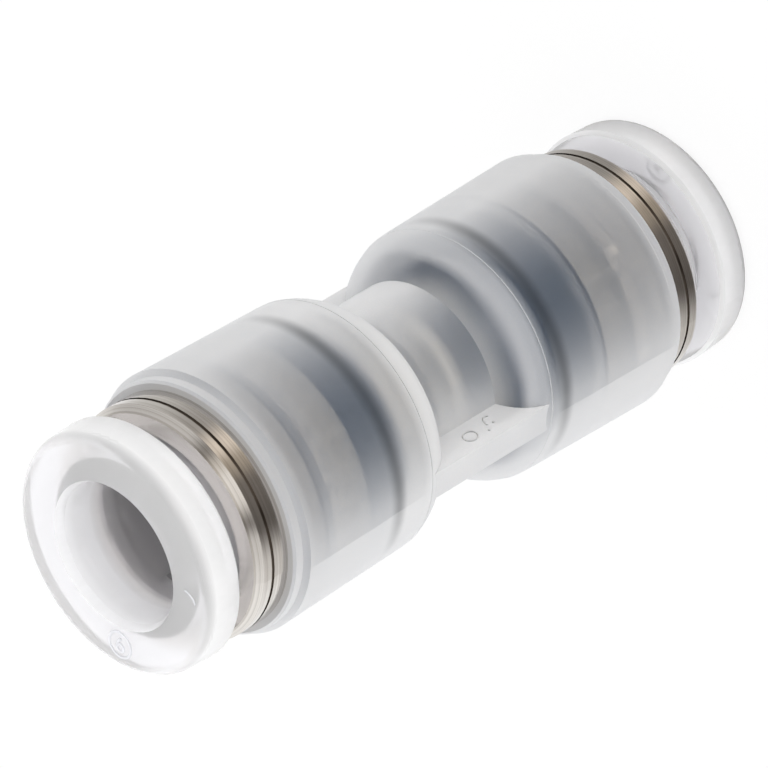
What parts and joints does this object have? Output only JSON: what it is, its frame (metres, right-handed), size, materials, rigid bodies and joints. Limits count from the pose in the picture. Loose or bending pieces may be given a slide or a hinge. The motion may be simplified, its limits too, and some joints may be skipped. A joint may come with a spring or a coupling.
{
  "type": "push-in straight union fitting",
  "caption": "Straight push-in tube union: frosted body with webbed neck, steel guide rings, and release rings that press in at both ends.",
  "frame": {"origin": "middle of the union, on the bore axis, half way between the two ports", "axes": "+Z along the bore axis out of the top port; the two webs beside the neck lie in the XZ plane"},
  "size_m": [0.0114, 0.0114, 0.0318],
  "materials": {
    "body_plastic": "frosted translucent natural plastic",
    "ring_plastic": "smooth milky translucent plastic",
    "guide_metal": "turned and polished stainless steel",
    "claw_steel": "pressed stainless sheet",
    "sleeve_rubber": "smooth black rubber"
  },
  "bodies": {
    "union": {"body": "body_plastic", "guide_ring_top": "guide_metal", "lock_claws_top": "claw_steel", "elastic_sleeve_top": "sleeve_rubber", "guide_ring_bottom": "guide_metal", "lock_claws_bottom": "claw_steel", "elastic_sleeve_bottom": "sleeve_rubber"},
    "release_top": {"release_ring_top": "ring_plastic"},
    "release_bottom": {"release_ring_bottom": "ring_plastic"}
  },
  "joints": [
    {"name": "release_slide_top", "type": "slide", "parent": "union", "child": "release_top", "axis": [0, 0, -1], "range_m": [0, 0.00105], "stiffness_N_per_m": 900, "springref_m": -0.0008, "deforming": ["lock_claws_top"]},
    {"name": "release_slide_bottom", "type": "slide", "parent": "union", "child": "release_bottom", "axis": [0, 0, 1], "range_m": [0, 0.00105], "stiffness_N_per_m": 900, "springref_m": -0.0008, "deforming": ["lock_claws_bottom"]}
  ]
}
